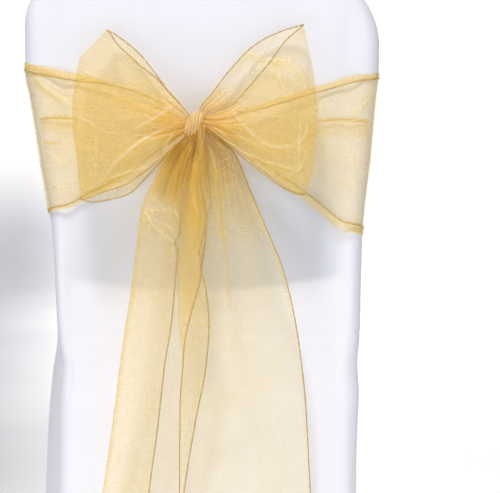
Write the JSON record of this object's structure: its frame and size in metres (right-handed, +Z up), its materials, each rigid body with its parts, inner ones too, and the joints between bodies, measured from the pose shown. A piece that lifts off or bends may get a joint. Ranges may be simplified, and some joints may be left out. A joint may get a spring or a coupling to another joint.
{
  "type": "banquet chair cover with sash",
  "caption": "Fitted stretch cover for a banquet chair, open at the floor, with an organza ribbon tied round its back in a large bow with long tails.",
  "frame": {"origin": "under the middle of the cover's top, where the chair's top rail carries it; the hem is 0.915 m lower", "axes": "+Z up, -Y towards the bow behind the chair, +Y towards the front of the seat, +X to the right seen from behind"},
  "size_m": [0.434, 0.55, 0.9173],
  "materials": {
    "cover_spandex": "white stretch knit, matt",
    "sash_organza": "sheer gold organza with rolled edges"
  },
  "bodies": {
    "root": {"cover_back": "cover_spandex", "cover_inner_back": "cover_spandex", "cover_seat_front": "cover_spandex", "cover_side_left": "cover_spandex", "cover_side_right": "cover_spandex", "sash": "sash_organza"}
  },
  "joints": []
}
